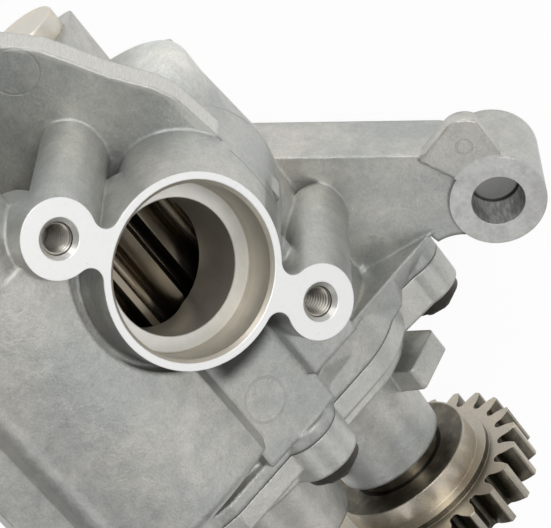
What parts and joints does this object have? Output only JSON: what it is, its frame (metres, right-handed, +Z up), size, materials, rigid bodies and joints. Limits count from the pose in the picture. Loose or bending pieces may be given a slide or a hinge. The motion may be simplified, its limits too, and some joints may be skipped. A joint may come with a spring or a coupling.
{
  "type": "engine oil pump",
  "caption": "Gear oil pump with a die-cast housing, a round suction port between two threaded lugs, a mounting ear on an arm and a toothed drive gear on its shaft.",
  "frame": {"origin": "middle of the outlet face on the underside of the housing, on the plane that the pump is bolted down on", "axes": "+X along the drive shaft towards the drive gear, +Y towards the mounting ear, +Z up, away from the outlet face; the suction port's face is tipped 37.9 degrees from +Z towards +Y"},
  "size_m": [0.2108, 0.1536, 0.1233],
  "materials": {
    "body_casting": "die-cast, matt, with machined faces",
    "cover_casting": "die-cast, matt",
    "black_bolts": "black oxide",
    "plain_steel": "plain steel",
    "ground_steel": "ground bright",
    "sintered_steel": "sintered, oiled",
    "rotor_steel": "satin",
    "bearing_bronze": "satin",
    "spring_steel": "drawn wire",
    "cap_metal": "plain, slightly yellow"
  },
  "bodies": {
    "housing": {"pump_body": "body_casting", "pump_cover": "cover_casting", "cover_bolts": "black_bolts", "cover_dowels": "plain_steel", "idler_pin": "ground_steel", "body_bush": "bearing_bronze", "cover_bush": "bearing_bronze", "ear_sleeve": "plain_steel", "relief_spring": "spring_steel", "relief_cap": "cap_metal"},
    "drive_line": {"drive_shaft": "ground_steel", "drive_gear": "sintered_steel", "gear_key": "plain_steel", "gear_washer": "plain_steel", "gear_nut": "plain_steel", "rotor_key": "plain_steel", "driving_rotor": "rotor_steel"},
    "idler": {"driven_rotor": "rotor_steel", "rotor_bush": "bearing_bronze"},
    "relief_valve": {"relief_piston": "ground_steel"}
  },
  "joints": [
    {"name": "drive_spin", "type": "hinge", "parent": "housing", "child": "drive_line", "pos_m": [-0.004, 0.024, 0.042], "axis": [1, 0, 0], "continuous": true},
    {"name": "idler_spin", "type": "hinge", "parent": "housing", "child": "idler", "pos_m": [-0.004, -0.00362, 0.0635], "axis": [1, 0, 0], "continuous": true},
    {"name": "relief_slide", "type": "slide", "parent": "housing", "child": "relief_valve", "axis": [-1, 0, 0], "range_m": [0, 0.007], "stiffness_N_per_m": 5000, "springref_m": -0.014, "deforming": ["relief_spring"]}
  ],
  "couplings": [
    {"joint": "idler_spin", "follows": "drive_spin", "ratio": -1}
  ]
}
